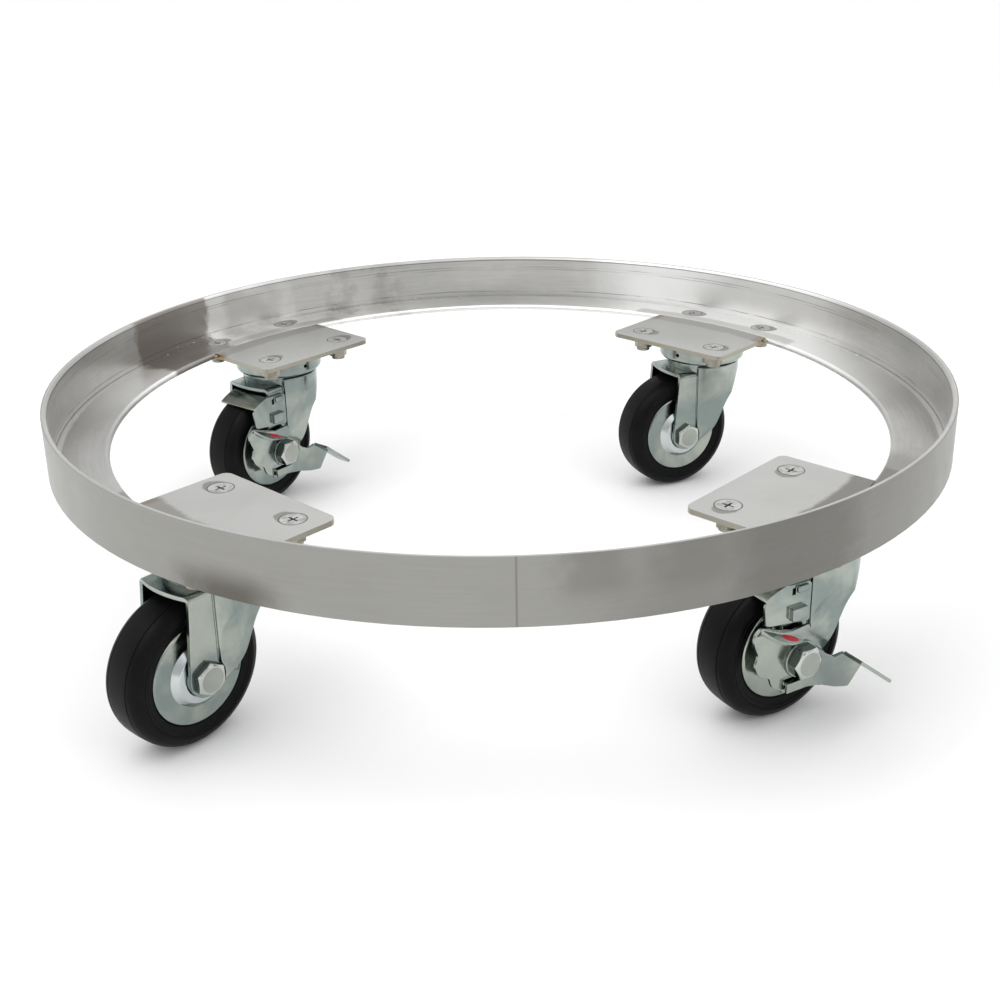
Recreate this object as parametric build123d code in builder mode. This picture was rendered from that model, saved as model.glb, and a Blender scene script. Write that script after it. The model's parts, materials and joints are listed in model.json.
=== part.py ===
"""Round drum dolly: a rolled steel angle ring on four swivel casters, two of them braked.

Millimetres, +Z up. The origin is the centre of the ring on the floor.
Each caster is drawn once in its own frame: the swivel axis is Z, +X points away from the
axle, and the bolt head and the brake are on the -Y side. Its station places it on the ring.
"""

from build123d import *
from math import cos, radians, sin, tan
import os

# ---- driving dimensions -------------------------------------------------------------
RING_RADIUS = 315.0        # outside of the rolled angle
ANGLE_LEG = 40.0           # both legs of the angle section
ANGLE_THICK = 4.0
ANGLE_ROOT = 4.0           # root fillet between the legs
ANGLE_TOE = 2.5            # rounded toe of each leg
MOUNT_HEIGHT = 129.5       # underside of the ring, where the casters bolt on

PAD_WIDTH = 110.0
PAD_INNER_EDGE = 202.5     # straight inner edge, measured from the ring's centre
PAD_WELD_LAP = 1.2         # ground weld reaches this far over the rounded toe
PAD_CORNER = 6.0

SCREW_SPACING = 72.0       # square bolt pattern of one caster
CASTER_RADIUS = 257.5      # swivel axes lie on this circle
SCREW_RADIUS = 4.0
SCREW_HEAD_RADIUS = 8.25
SCREW_LENGTH = 16.0
NUT_FLATS = 13.0
NUT_HEIGHT = 9.0

TOP_PLATE_SIDE = 90.0
TOP_PLATE_THICK = 3.2
CUP_RADIUS = 35.7
CUP_SHEET = 2.5
CUP_BOTTOM = 111.0
KINGPIN_RADIUS = 6.0

TRAIL = 28.0               # swivel axis to axle
WHEEL_RADIUS = 48.5
TYRE_WIDTH = 32.0
DISC_RADIUS = 33.2
SHEET = 3.0                # pressed steel of the fork
FORK_HALF = 23.5           # outside of a leg from the middle plane
FORK_TOP = 104.5           # flat behind the swivel head
SHOULDER_TOP = 109.5
SKIRT_RADIUS = 31.5
BOSS_RADIUS = 29.3
BOSS_TOP = 116.8
LOWER_RACE_RADIUS = 22.0
LOWER_RACE_BOTTOM = 104.8
LOWER_RACE_TOP = 107.8
BOLT_RADIUS = 6.0
BOLT_FLATS = 19.0
SLEEVE_RADIUS = 8.5
RUNNING_GAP = 0.05

BRAKE_SHEET = 2.2
BRAKE_GAP = 0.2            # between the leg, the shoe arm and the lever
SHOE_GAP = 1.5             # shoe to tread with the brake off

# corner: (place round the ring, direction of +X of the caster, wheel turn, braked)
STATIONS = {
    "front_left": (225.0, 48.0, 0.0, False),
    "front_right": (315.0, 28.0, 40.0, True),
    "rear_left": (135.0, 50.5, 75.0, True),
    "rear_right": (45.0, 23.0, 15.0, False),
}

MOUNT_TOP = MOUNT_HEIGHT + ANGLE_THICK
RING_INNER = RING_RADIUS - ANGLE_LEG
TOP_PLATE_BOTTOM = MOUNT_HEIGHT - TOP_PLATE_THICK
NUT_TOP = TOP_PLATE_BOTTOM
AXLE_Z = WHEEL_RADIUS
LEG_INNER = FORK_HALF - SHEET
ARM_FACE = FORK_HALF + BRAKE_GAP + BRAKE_SHEET
LEVER_FACE = ARM_FACE + BRAKE_GAP + BRAKE_SHEET
WASHER_THICK = 1.6
WASHER_RADIUS = 12.0
WASHER_FACE = LEVER_FACE + RUNNING_GAP + WASHER_THICK

os.makedirs("parts", exist_ok=True)


def write(piece, name, spot=Location()):
    """Names a finished piece, moves it to its spot and writes its STEP file."""
    placed = spot * piece.part
    placed.label = name
    export_step(placed, f"parts/{name}.step")


def pad_plane(place, height=0.0):
    """Plane on a swivel axis with X pointing straight out from the ring's centre."""
    turn = radians(place)
    centre = (CASTER_RADIUS * cos(turn), CASTER_RADIUS * sin(turn), height)
    return Plane(centre, x_dir=(cos(turn), sin(turn), 0))


def caster_plane(place, heading):
    """Caster frame on the floor: X points away from the axle."""
    turn = radians(heading)
    return Plane(pad_plane(place).origin, x_dir=(cos(turn), sin(turn), 0))


def side_plane(y):
    """Plane facing the bolt-head side of a caster, with X along the caster and Y upwards."""
    return Plane((0, y, 0), x_dir=(1, 0, 0), z_dir=(0, -1, 0))


def axle_plane(y):
    """The same plane with its origin on the axle."""
    return Plane((-TRAIL, y, AXLE_Z), x_dir=(1, 0, 0), z_dir=(0, -1, 0))


# ---- ring and pads ------------------------------------------------------------------
def make_ring():
    with BuildPart() as ring:
        with BuildSketch(Plane.XZ) as section:
            with BuildLine():
                Polyline(
                    (RING_INNER, MOUNT_HEIGHT),
                    (RING_RADIUS, MOUNT_HEIGHT),
                    (RING_RADIUS, MOUNT_HEIGHT + ANGLE_LEG),
                    (RING_RADIUS - ANGLE_THICK, MOUNT_HEIGHT + ANGLE_LEG),
                    (RING_RADIUS - ANGLE_THICK, MOUNT_TOP),
                    (RING_INNER, MOUNT_TOP),
                    close=True,
                )
            make_face()
            corners = section.vertices()
            toes = corners.sort_by_distance((RING_INNER, MOUNT_TOP))[:1]
            toes += corners.sort_by_distance((RING_RADIUS - ANGLE_THICK, MOUNT_HEIGHT + ANGLE_LEG))[:1]
            root = corners.sort_by_distance((RING_RADIUS - ANGLE_THICK, MOUNT_TOP))[:1]
            fillet(toes, ANGLE_TOE)
            fillet(root, ANGLE_ROOT)
        revolve(axis=Axis.Z)
        for place, _, _, _ in STATIONS.values():
            cut_screw_holes(place, outer_row=True)
    return ring


def screw_spots(outer_row):
    """Screw places in a pad plane: the outer row is in the ring, the inner row in the pad."""
    x = SCREW_SPACING / 2 if outer_row else -SCREW_SPACING / 2
    return [(x, -SCREW_SPACING / 2), (x, SCREW_SPACING / 2)]


def cut_screw_holes(place, outer_row):
    """Countersunk through holes for one row of screws."""
    with Locations(pad_plane(place, MOUNT_TOP)):
        with Locations(*screw_spots(outer_row)):
            CounterSinkHole(SCREW_RADIUS + 0.2, SCREW_HEAD_RADIUS + 0.1, 2 * ANGLE_THICK, 90)


def make_pad(place, ring):
    """Weld-on plate inside the ring, flush with the flange and trimmed to its rounded toe."""
    inner_edge = PAD_INNER_EDGE - CASTER_RADIUS
    with BuildPart() as pad:
        with BuildSketch(pad_plane(place, MOUNT_HEIGHT)):
            with BuildSketch(mode=Mode.PRIVATE) as reach:
                with Locations((-CASTER_RADIUS, 0)):
                    Circle(RING_INNER + PAD_WELD_LAP)
            with Locations((inner_edge, 0)):
                Rectangle(PAD_INNER_EDGE, PAD_WIDTH, align=(Align.MIN, Align.CENTER))
            add(reach.sketch, mode=Mode.INTERSECT)
        extrude(amount=ANGLE_THICK)
        add(ring.part, mode=Mode.SUBTRACT)
        corners = pad.edges().filter_by(Axis.Z).sort_by_distance((0, 0, MOUNT_HEIGHT))[:2]
        fillet(corners, PAD_CORNER)
        cut_screw_holes(place, outer_row=False)
    return pad


# ---- screws and nuts ----------------------------------------------------------------
def make_screw():
    """Countersunk cross-recess screw, top of the head at Z = 0."""
    cone = SCREW_HEAD_RADIUS - SCREW_RADIUS
    recess_depth, recess_width, recess_length = 2.4, 1.5, 8.0
    with BuildPart() as screw:
        with BuildSketch(Plane.XZ):
            with BuildLine():
                Polyline(
                    (0, 0),
                    (SCREW_HEAD_RADIUS, 0),
                    (SCREW_RADIUS, -cone),
                    (SCREW_RADIUS, -SCREW_LENGTH + 0.8),
                    (SCREW_RADIUS - 0.8, -SCREW_LENGTH),
                    (0, -SCREW_LENGTH),
                    close=True,
                )
            make_face()
        revolve(axis=Axis.Z)
        with BuildSketch():
            Rectangle(recess_length, recess_width)
            Rectangle(recess_width, recess_length)
        extrude(amount=-recess_depth, taper=12, mode=Mode.SUBTRACT)
    return screw


def make_lock_nut():
    """Nylon-insert lock nut hanging below Z = 0."""
    collar_height, collar_radius = 2.4, 5.6
    with BuildPart() as nut:
        with BuildSketch():
            RegularPolygon(NUT_FLATS / 2, 6, major_radius=False)
        extrude(amount=-NUT_HEIGHT + collar_height)
        with BuildSketch(Plane.XY.offset(-NUT_HEIGHT + collar_height)):
            Circle(collar_radius)
        extrude(amount=-collar_height)
        Hole(SCREW_RADIUS)
    return nut


def make_group(piece, spots):
    """Copies of one fastener at every spot, as separate solids of one piece."""
    with BuildPart() as group:
        with Locations(*spots):
            add(piece.part)
    return group


def fastener_spots(height):
    spots = []
    for place, _, _, _ in STATIONS.values():
        plane = pad_plane(place, height)
        for outer_row in (False, True):
            for x, y in screw_spots(outer_row):
                spots.append(plane * Pos(x, y, 0))
    return spots


def swivel_spots():
    return [pad_plane(place).location for place, _, _, _ in STATIONS.values()]


# ---- swivel head --------------------------------------------------------------------
def make_top_plate(place):
    corner = 8.0
    with BuildPart() as plate:
        with BuildSketch(pad_plane(place, TOP_PLATE_BOTTOM)):
            RectangleRounded(TOP_PLATE_SIDE, TOP_PLATE_SIDE, corner)
            Circle(KINGPIN_RADIUS, mode=Mode.SUBTRACT)
            for outer_row in (False, True):
                with Locations(*screw_spots(outer_row)):
                    Circle(SCREW_RADIUS + 0.5, mode=Mode.SUBTRACT)
        extrude(amount=TOP_PLATE_THICK)
    return plate


def make_race_cup():
    """Pressed cup under the top plate: upper ball race inside, rolled-in lower edge."""
    wall = CUP_RADIUS - CUP_SHEET
    roll = 4.0
    lip_radius = 30.2
    hole_radius = 1.6
    with BuildPart() as cup:
        with BuildSketch(Plane.XZ) as section:
            with BuildLine():
                Polyline(
                    (KINGPIN_RADIUS, TOP_PLATE_BOTTOM),
                    (CUP_RADIUS, TOP_PLATE_BOTTOM),
                    (CUP_RADIUS, CUP_BOTTOM),
                    (lip_radius, CUP_BOTTOM),
                    (lip_radius, CUP_BOTTOM + CUP_SHEET),
                    (wall, CUP_BOTTOM + CUP_SHEET),
                    (wall, TOP_PLATE_BOTTOM - CUP_SHEET),
                    (KINGPIN_RADIUS, TOP_PLATE_BOTTOM - CUP_SHEET),
                    close=True,
                )
            make_face()
            fillet(section.vertices().sort_by_distance((CUP_RADIUS, CUP_BOTTOM))[:1], roll)
            fillet(section.vertices().sort_by_distance((CUP_RADIUS, TOP_PLATE_BOTTOM))[:1], 1.5)
        revolve(axis=Axis.Z)
        with BuildSketch(Plane.YZ.offset(1 - wall)):
            with Locations((0, (CUP_BOTTOM + TOP_PLATE_BOTTOM) / 2)):
                Circle(hole_radius)
        extrude(amount=-CUP_SHEET - 2, mode=Mode.SUBTRACT)
    return cup


def make_kingpin():
    """Rivet that holds the swivel head together, closed flush with the top plate."""
    head_radius, head_bottom, head_top = 11.0, 100.8, LOWER_RACE_BOTTOM
    with BuildPart() as kingpin:
        with BuildSketch(Plane.XZ):
            with BuildLine():
                Polyline(
                    (0, head_bottom),
                    (head_radius - 1, head_bottom),
                    (head_radius, head_bottom + 1),
                    (head_radius, head_top),
                    (KINGPIN_RADIUS, head_top),
                    (KINGPIN_RADIUS, MOUNT_HEIGHT),
                    (0, MOUNT_HEIGHT),
                    close=True,
                )
            make_face()
        revolve(axis=Axis.Z)
    return kingpin


def make_lower_race():
    """Washer on the kingpin head that carries the lower row of balls."""
    with BuildPart() as race:
        with BuildSketch(Plane.XY.offset(LOWER_RACE_BOTTOM)):
            Circle(LOWER_RACE_RADIUS)
            Circle(KINGPIN_RADIUS, mode=Mode.SUBTRACT)
        extrude(amount=LOWER_RACE_TOP - LOWER_RACE_BOTTOM)
        fillet(race.edges().filter_by(GeomType.CIRCLE).sort_by(SortBy.RADIUS)[-2:], 0.8)
    return race


def make_swivel_balls():
    """Upper row between cup and fork, lower row between fork and lower race."""
    rows = (
        (BOSS_TOP, TOP_PLATE_BOTTOM - CUP_SHEET, 23.0, 18),
        (LOWER_RACE_TOP, BOSS_TOP - SHEET, 16.0, 14),
    )
    with BuildPart() as balls:
        for low, high, pitch_radius, count in rows:
            with Locations((0, 0, (low + high) / 2)):
                with PolarLocations(pitch_radius, count):
                    Sphere((high - low) / 2 - 0.02)
    return balls


# ---- fork ---------------------------------------------------------------------------
BEND_X = -19.0             # where the flat leg turns into the round skirt
EYE_RADIUS = 12.5          # rounded end of a leg round the axle


def make_fork(braked):
    """Pressed fork: flat legs behind, and a round skirt that narrows down to each axle eye."""
    rear_x, rear_bulge = -36.0, 4.0
    bend_outside, bend_inside = 4.5, 1.5
    skirt_bottom = 36.0
    ceiling = BOSS_TOP - SHEET
    hollow_radius = BOSS_RADIUS - SHEET
    lip_hole_radius = 10.0
    head_relief, head_relief_depth = 11.4, 5.0
    with BuildPart() as fork:
        # two legs
        for face in (FORK_HALF, -LEG_INNER):
            with BuildSketch(side_plane(-face + SHEET)):
                with Locations((-TRAIL, AXLE_Z)):
                    Circle(EYE_RADIUS)
                with Locations((rear_x, FORK_TOP)):
                    Rectangle(BEND_X - rear_x, 1, align=(Align.MIN, Align.MAX))
                make_hull()
                with Locations((BEND_X, 0)):
                    Rectangle(2 * FORK_TOP, 2 * FORK_TOP, align=(Align.MAX, Align.CENTER),
                              mode=Mode.INTERSECT)
            extrude(amount=SHEET)
        # flat behind the swivel head, with a bowed rear edge
        with BuildSketch(Plane.XY.offset(FORK_TOP - SHEET)):
            with BuildLine():
                ThreePointArc((rear_x, FORK_HALF), (rear_x - rear_bulge, 0), (rear_x, -FORK_HALF))
                Polyline((rear_x, -FORK_HALF), (BEND_X, -FORK_HALF), (BEND_X, FORK_HALF),
                         (rear_x, FORK_HALF))
            make_face()
        extrude(amount=SHEET)
        along = fork.edges().filter_by(Axis.X)
        fillet(along.filter_by(lambda e: abs(e.center().Z - FORK_TOP) < 0.1), bend_outside)
        inner = fork.edges().filter_by(Axis.X)
        fillet(inner.filter_by(lambda e: abs(e.center().Z - FORK_TOP + SHEET) < 0.1
                               and abs(abs(e.center().Y) - LEG_INNER) < 0.1), bend_inside)
        add(make_skirt(skirt_bottom).part)
        # raised boss inside the race cup, hollow for the lower race
        with BuildSketch(Plane.XY.offset(FORK_TOP - SHEET)):
            Circle(BOSS_RADIUS)
        extrude(amount=BOSS_TOP - FORK_TOP + SHEET)
        with BuildSketch(Plane.XY.offset(FORK_TOP - SHEET)):
            Circle(hollow_radius)
        extrude(amount=ceiling - FORK_TOP + SHEET, mode=Mode.SUBTRACT)
        with BuildSketch(Plane.XY.offset(ceiling)):
            Circle(lip_hole_radius)
        extrude(amount=SHEET, mode=Mode.SUBTRACT)
        # axle holes, and the slot that the brake shoe hangs in
        with BuildSketch(axle_plane(FORK_HALF)):
            Circle(BOLT_RADIUS)
        extrude(amount=2 * FORK_HALF, mode=Mode.SUBTRACT)
        for face, depth in ((-FORK_HALF, head_relief_depth), (FORK_HALF, -head_relief_depth)):
            with BuildSketch(axle_plane(face)):
                Circle(head_relief)
            extrude(amount=depth, mode=Mode.SUBTRACT)
        if braked:
            with BuildSketch(side_plane(-LEG_INNER + 1)):
                with Locations((SLOT_X, SLOT_Z)):
                    RectangleRounded(SLOT_LENGTH, SLOT_HEIGHT, 1)
            extrude(amount=SHEET + 2, mode=Mode.SUBTRACT)
    return fork


def make_skirt(bottom):
    """Round front of the fork, flattened towards the axle and cut along the front edge."""
    outside = make_skirt_core(bottom, SKIRT_RADIUS, 0)
    inside = make_skirt_core(bottom - 1, SKIRT_RADIUS - SHEET, SHEET)
    with BuildPart() as skirt:
        add(outside.part)
        rear = skirt.edges().filter_by(Axis.Z).filter_by(lambda e: abs(e.center().X - BEND_X) < 0.1)
        fillet(rear, 1.4)
        add(inside.part, mode=Mode.SUBTRACT)
        shoulder = skirt.faces().sort_by(Axis.Z)[-1].edges().filter_by(GeomType.CIRCLE)
        fillet(shoulder.sort_by(SortBy.RADIUS)[-1:], 2.0)
        with BuildSketch(side_plane(2 * SKIRT_RADIUS)):
            with BuildLine():
                front = Spline((BEND_X, 42.5), (-8, 47.5), (-0.5, 54), (4, 62), (8, 70.5), (11.5, 79),
                               (15, 87.5), (18.5, 94.5), (32, 102.5), tangents=((0.95, 0.3), (1, 0.1)))
                Polyline(front @ 1, (60, 102.5), (60, bottom - 1), (BEND_X, bottom - 1), front @ 0)
            make_face()
        extrude(amount=4 * SKIRT_RADIUS, mode=Mode.SUBTRACT)
    return skirt


def make_skirt_core(bottom, radius, inset):
    """Solid round front of the fork, its sides drawn in near the axle to clear the brake."""
    low_half, low_z, high_z = 25.8 - inset, 69.0, 97.0
    with BuildPart() as core:
        with BuildSketch(Plane.XY.offset(bottom)):
            Circle(radius)
            with Locations((BEND_X, 0)):
                Rectangle(2 * SKIRT_RADIUS, 2 * SKIRT_RADIUS, align=(Align.MIN, Align.CENTER),
                          mode=Mode.INTERSECT)
        extrude(amount=SHOULDER_TOP - bottom)
        with BuildSketch(Plane.YZ.offset(BEND_X)):
            with BuildLine():
                Polyline((0, bottom), (low_half, bottom), (low_half, low_z))
                Spline((low_half, low_z), (radius, high_z), tangents=((0, 1), (0, 1)))
                Polyline((radius, high_z), (radius, SHOULDER_TOP), (0, SHOULDER_TOP))
                mirror(about=Plane.YZ)
            make_face()
        extrude(amount=2 * SKIRT_RADIUS, mode=Mode.INTERSECT)
    return core


# ---- axle ---------------------------------------------------------------------------
def make_axle_bolt(bearing_face, head_height, head_turn):
    """Hexagon bolt along Y, its head on the -Y side against bearing_face."""
    tip = 34.0
    corner_radius, face_radius, bevel = 10.97, 7.8, 1.5
    with BuildPart() as bolt:
        with BuildSketch(axle_plane(-bearing_face)):
            RegularPolygon(BOLT_FLATS / 2, 6, major_radius=False, rotation=head_turn)
        extrude(amount=head_height)
        with BuildSketch(Plane((-TRAIL, -bearing_face, AXLE_Z), x_dir=(1, 0, 0), z_dir=(0, 0, 1))):
            with BuildLine():
                Polyline((0, 0), (corner_radius, 0), (corner_radius, -head_height + bevel),
                         (face_radius, -head_height), (0, -head_height), close=True)
            make_face()
        revolve(axis=Axis((-TRAIL, 0, AXLE_Z), (0, 1, 0)), mode=Mode.INTERSECT)
        with BuildSketch(axle_plane(-bearing_face)):
            Circle(BOLT_RADIUS)
        extrude(amount=-(bearing_face + tip))
        chamfer(bolt.faces().sort_by(Axis.Y)[-1].edges(), 0.8)
    return bolt


def make_axle_nut():
    height, collar = 8.0, 2.5
    with BuildPart() as nut:
        with BuildSketch(axle_plane(FORK_HALF)):
            RegularPolygon(BOLT_FLATS / 2, 6, major_radius=False, rotation=30)
            Circle(BOLT_RADIUS, mode=Mode.SUBTRACT)
        extrude(amount=-height)
        with BuildSketch(axle_plane(FORK_HALF + height)):
            Circle(BOLT_FLATS / 2 - 1)
            Circle(BOLT_RADIUS, mode=Mode.SUBTRACT)
        extrude(amount=-collar)
    return nut


def make_sleeve():
    """Spacer clamped between the legs: the wheel's hub turns on it."""
    with BuildPart() as sleeve:
        with BuildSketch(axle_plane(LEG_INNER)):
            Circle(SLEEVE_RADIUS)
            Circle(BOLT_RADIUS, mode=Mode.SUBTRACT)
        extrude(amount=2 * LEG_INNER)
    return sleeve


def make_washer():
    with BuildPart() as washer:
        with BuildSketch(axle_plane(-LEVER_FACE - RUNNING_GAP)):
            Circle(WASHER_RADIUS)
            Circle(BOLT_RADIUS, mode=Mode.SUBTRACT)
        extrude(amount=WASHER_THICK)
        fillet(washer.faces().sort_by(Axis.Y)[0].edges().sort_by(SortBy.RADIUS)[-1:], 0.5)
    return washer


# ---- wheel, drawn with its axle along Z and the bolt-head side up --------------------
HUB_RADIUS = 12.0
DISC_SHEET = 1.5
DISC_FACE = 15.1           # outside of the flat of a disc from the middle plane


def make_tyre():
    """Moulded rubber tyre with a parting groove on each side of the tread."""
    half = TYRE_WIDTH / 2
    tread = 8.5
    groove_width, groove_depth = 0.7, 0.5
    with BuildPart() as tyre:
        with BuildSketch(Plane.XZ):
            with BuildLine():
                crown = ThreePointArc((WHEEL_RADIUS, 0), (WHEEL_RADIUS - 0.1, tread / 2),
                                      (WHEEL_RADIUS - 0.4, tread))
                shoulder = SagittaArc(crown @ 1, (41.0, half), -1.5)
                Polyline(shoulder @ 1, (38.6, half), (37.8, half - 1), (36.4, half - 1),
                         (35.0, half - 1.5), (DISC_RADIUS, half - 1.6), (DISC_RADIUS, 0))
                mirror(about=Plane.XZ)
            make_face()
            with GridLocations(0, 2 * tread, 1, 2):
                with Locations((WHEEL_RADIUS - 0.4, 0)):
                    Rectangle(2 * groove_depth, groove_width, mode=Mode.SUBTRACT)
        revolve(axis=Axis.Z)
    return tyre


def make_disc(side):
    """Pressed wheel disc: rim flange, flat with three set-down pads, raised centre."""
    pad_inner, pad_outer, pad_angle, pad_depth = 22.2, 31.4, 42, 0.7
    mid = DISC_SHEET / 2
    with BuildPart() as disc:
        with BuildSketch(Plane.XZ):
            with BuildLine():
                FilletPolyline(
                    (HUB_RADIUS + mid, 18.6),
                    (17.0, 18.0),
                    (20.8, DISC_FACE - mid),
                    (DISC_RADIUS - mid, DISC_FACE - mid),
                    (DISC_RADIUS - mid, mid + 0.1),
                    radius=1.2,
                )
            trace(line_width=DISC_SHEET)
        revolve(axis=Axis.Z)
        with BuildSketch(Plane.XY.offset(DISC_FACE)):
            with PolarLocations(0, 3):
                with BuildLine():
                    first = PolarLine((0, 0), pad_outer, -pad_angle / 2)
                    CenterArc((0, 0), pad_outer, -pad_angle / 2, pad_angle)
                    Line((0, 0), first @ 1)
                    PolarLine((0, 0), pad_outer, pad_angle / 2)
                make_face()
            Circle(pad_inner, mode=Mode.SUBTRACT)
        extrude(amount=-pad_depth, mode=Mode.SUBTRACT)
    if side < 0:
        disc.part = disc.part.mirror(Plane.XY)
    return disc


def make_hub():
    """Steel bush that the discs are pressed on and that turns on the axle sleeve."""
    half_length = 19.5
    with BuildPart() as hub:
        Cylinder(HUB_RADIUS, 2 * half_length)
        Hole(SLEEVE_RADIUS + RUNNING_GAP)
        rims = hub.edges().filter_by(GeomType.CIRCLE).filter_by(lambda e: e.radius > HUB_RADIUS - 0.1)
        chamfer(rims, 0.6)
    return hub


# ---- brake --------------------------------------------------------------------------
SLOT_X, SLOT_Z = -28.75, 92.5
SLOT_LENGTH, SLOT_HEIGHT = 11.5, 7.0


def make_brake_shoe():
    """Arm outside the leg, hung in the fork's slot, with a visor over the tread."""
    visor_inner = WHEEL_RADIUS + SHOE_GAP
    visor_outer = visor_inner + BRAKE_SHEET
    visor_from, visor_to = 13.0, 32.0      # degrees behind the top of the wheel
    visor_reach = 14.0
    tab_top, tab_length = 92.3, 8.0
    inner_face = FORK_HALF + BRAKE_GAP
    lugs = ((-30.5, 12.0, 75.2, 83.7, 3.6), (-27.8, 8.4, 92.8, 97.4, 2.2))

    def on_wheel(radius, degrees):
        turn = radians(degrees)
        return (-TRAIL - radius * sin(turn), AXLE_Z + radius * cos(turn))

    def visor_arc():
        middle = (visor_from + visor_to) / 2
        return ThreePointArc(on_wheel(visor_outer, visor_from), on_wheel(visor_outer, middle),
                             on_wheel(visor_outer, visor_to))

    with BuildPart() as shoe:
        # arm
        with BuildSketch(side_plane(-inner_face)) as arm:
            with BuildLine():
                top = visor_arc()
                Polyline(top @ 1, on_wheel(visor_inner, visor_to), (-55.5, 89), (-54.3, 75.5),
                         (-20, 71), (-20, 96), (-22, 98), (-36, 98.6), top @ 0)
            make_face()
            fillet(arm.vertices().sort_by_distance((-54.3, 75.5))[:1], 3)
            fillet(arm.vertices().sort_by_distance((-20, 71))[:1], 2)
            with Locations((-33.7, 93.8)):
                Rectangle(2.6, 4.4, mode=Mode.SUBTRACT)
        extrude(amount=BRAKE_SHEET)
        # visor over the tread
        with BuildSketch(side_plane(-inner_face)):
            with BuildLine():
                top = visor_arc()
                middle = (visor_from + visor_to) / 2
                low = ThreePointArc(on_wheel(visor_inner, visor_to), on_wheel(visor_inner, middle),
                                    on_wheel(visor_inner, visor_from))
                Line(top @ 1, low @ 0)
                Line(low @ 1, top @ 0)
            make_face()
        extrude(amount=-(inner_face + visor_reach))
        # hanging tab in the fork's slot
        with BuildSketch(side_plane(-inner_face)):
            with Locations((SLOT_X, tab_top)):
                Rectangle(tab_length, BRAKE_SHEET, align=(Align.CENTER, Align.MAX))
        extrude(amount=-(SHEET + BRAKE_GAP))
        # two pressed lugs on the outside of the arm
        for middle, length, low, high, reach in lugs:
            with BuildSketch(side_plane(-ARM_FACE)):
                with Locations((middle, (low + high) / 2)):
                    RectangleRounded(length, high - low, 1.2)
            extrude(amount=reach)
            top = shoe.faces().sort_by_distance((middle, -ARM_FACE - reach, (low + high) / 2))[0]
            fillet(top.edges(), 1.1)
    return shoe


def make_brake_lever():
    """Foot lever on the axle bolt: toothed plate, folded ledge and tab, bent arm with pedal."""
    inner_face = LEVER_FACE - BRAKE_SHEET
    ledge_start, ledge_end = (-31.0, 29.0), (3.0, 13.0)
    ledge_depth, ledge_slope, ledge_edge = 6.5, 32.0, 1.6
    arm_bend = 19.0
    tab_left, tab_right, tab_top, tab_drop, tab_reach = -12.0, 6.0, -12.8, 6.4, 3.6
    slot_height = 2.6
    with BuildPart() as lever:
        with BuildSketch(axle_plane(-inner_face)):
            with BuildLine():
                teeth = Spline(ledge_start, (-36.5, 23), (-34.8, 15.5), (-33, 10.5), (-34.6, 4.5),
                               (-32, -2), (-28, -5.4), (-24, -6.8), (-21.8, -11.5),
                               (-18.5, -15.8), (-15, -17.6), (-12.5, -20.5))
                Polyline(teeth @ 1, (tab_right, -22), (arm_bend, -24.5), (arm_bend, -1), (5.5, 21.5),
                         (-7, 20.5), ledge_start)
            make_face()
            Circle(BOLT_RADIUS + RUNNING_GAP, mode=Mode.SUBTRACT)
            with Locations((tab_left, tab_top)):
                Rectangle(tab_right - tab_left, slot_height, align=Align.MIN, mode=Mode.SUBTRACT)
        extrude(amount=BRAKE_SHEET)
        # lens-shaped ledge that slopes outwards and down from the plate's face
        run = Vector(ledge_end[0] - ledge_start[0], 0, ledge_end[1] - ledge_start[1])
        ledge_root = -inner_face - BRAKE_SHEET * sin(radians(ledge_slope))
        ledge_plane = Plane((ledge_start[0] - TRAIL, ledge_root, ledge_start[1] + AXLE_Z),
                            x_dir=run, z_dir=(-run.Z, -run.length * tan(radians(ledge_slope)), run.X))
        with BuildSketch(ledge_plane):
            with BuildLine():
                Polyline((0, -ledge_edge), (0, 0), (run.length, 0), (run.length, -ledge_edge))
                ThreePointArc((run.length, -ledge_edge), (run.length / 2, -ledge_edge - ledge_depth),
                              (0, -ledge_edge))
            make_face()
        extrude(amount=-BRAKE_SHEET)
        # room for the washer below the ledge
        with BuildSketch(axle_plane(-LEVER_FACE)):
            Circle(WASHER_RADIUS + 0.3)
        extrude(amount=WASHER_THICK + 0.3, mode=Mode.SUBTRACT)
        # tab folded outwards and down below the bolt
        with BuildSketch(Plane.YZ.offset(tab_left - TRAIL)):
            with BuildLine():
                reach = LEVER_FACE + tab_reach
                low, high = AXLE_Z + tab_top - tab_drop, AXLE_Z + tab_top
                Polyline((-inner_face, high), (-reach, high), (-reach, low), (-reach + BRAKE_SHEET, low),
                         (-reach + BRAKE_SHEET, high - BRAKE_SHEET), (-inner_face, high - BRAKE_SHEET),
                         close=True)
            make_face()
        extrude(amount=tab_right - tab_left)
        add(make_pedal_arm(arm_bend, inner_face).part)
    return lever


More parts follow.
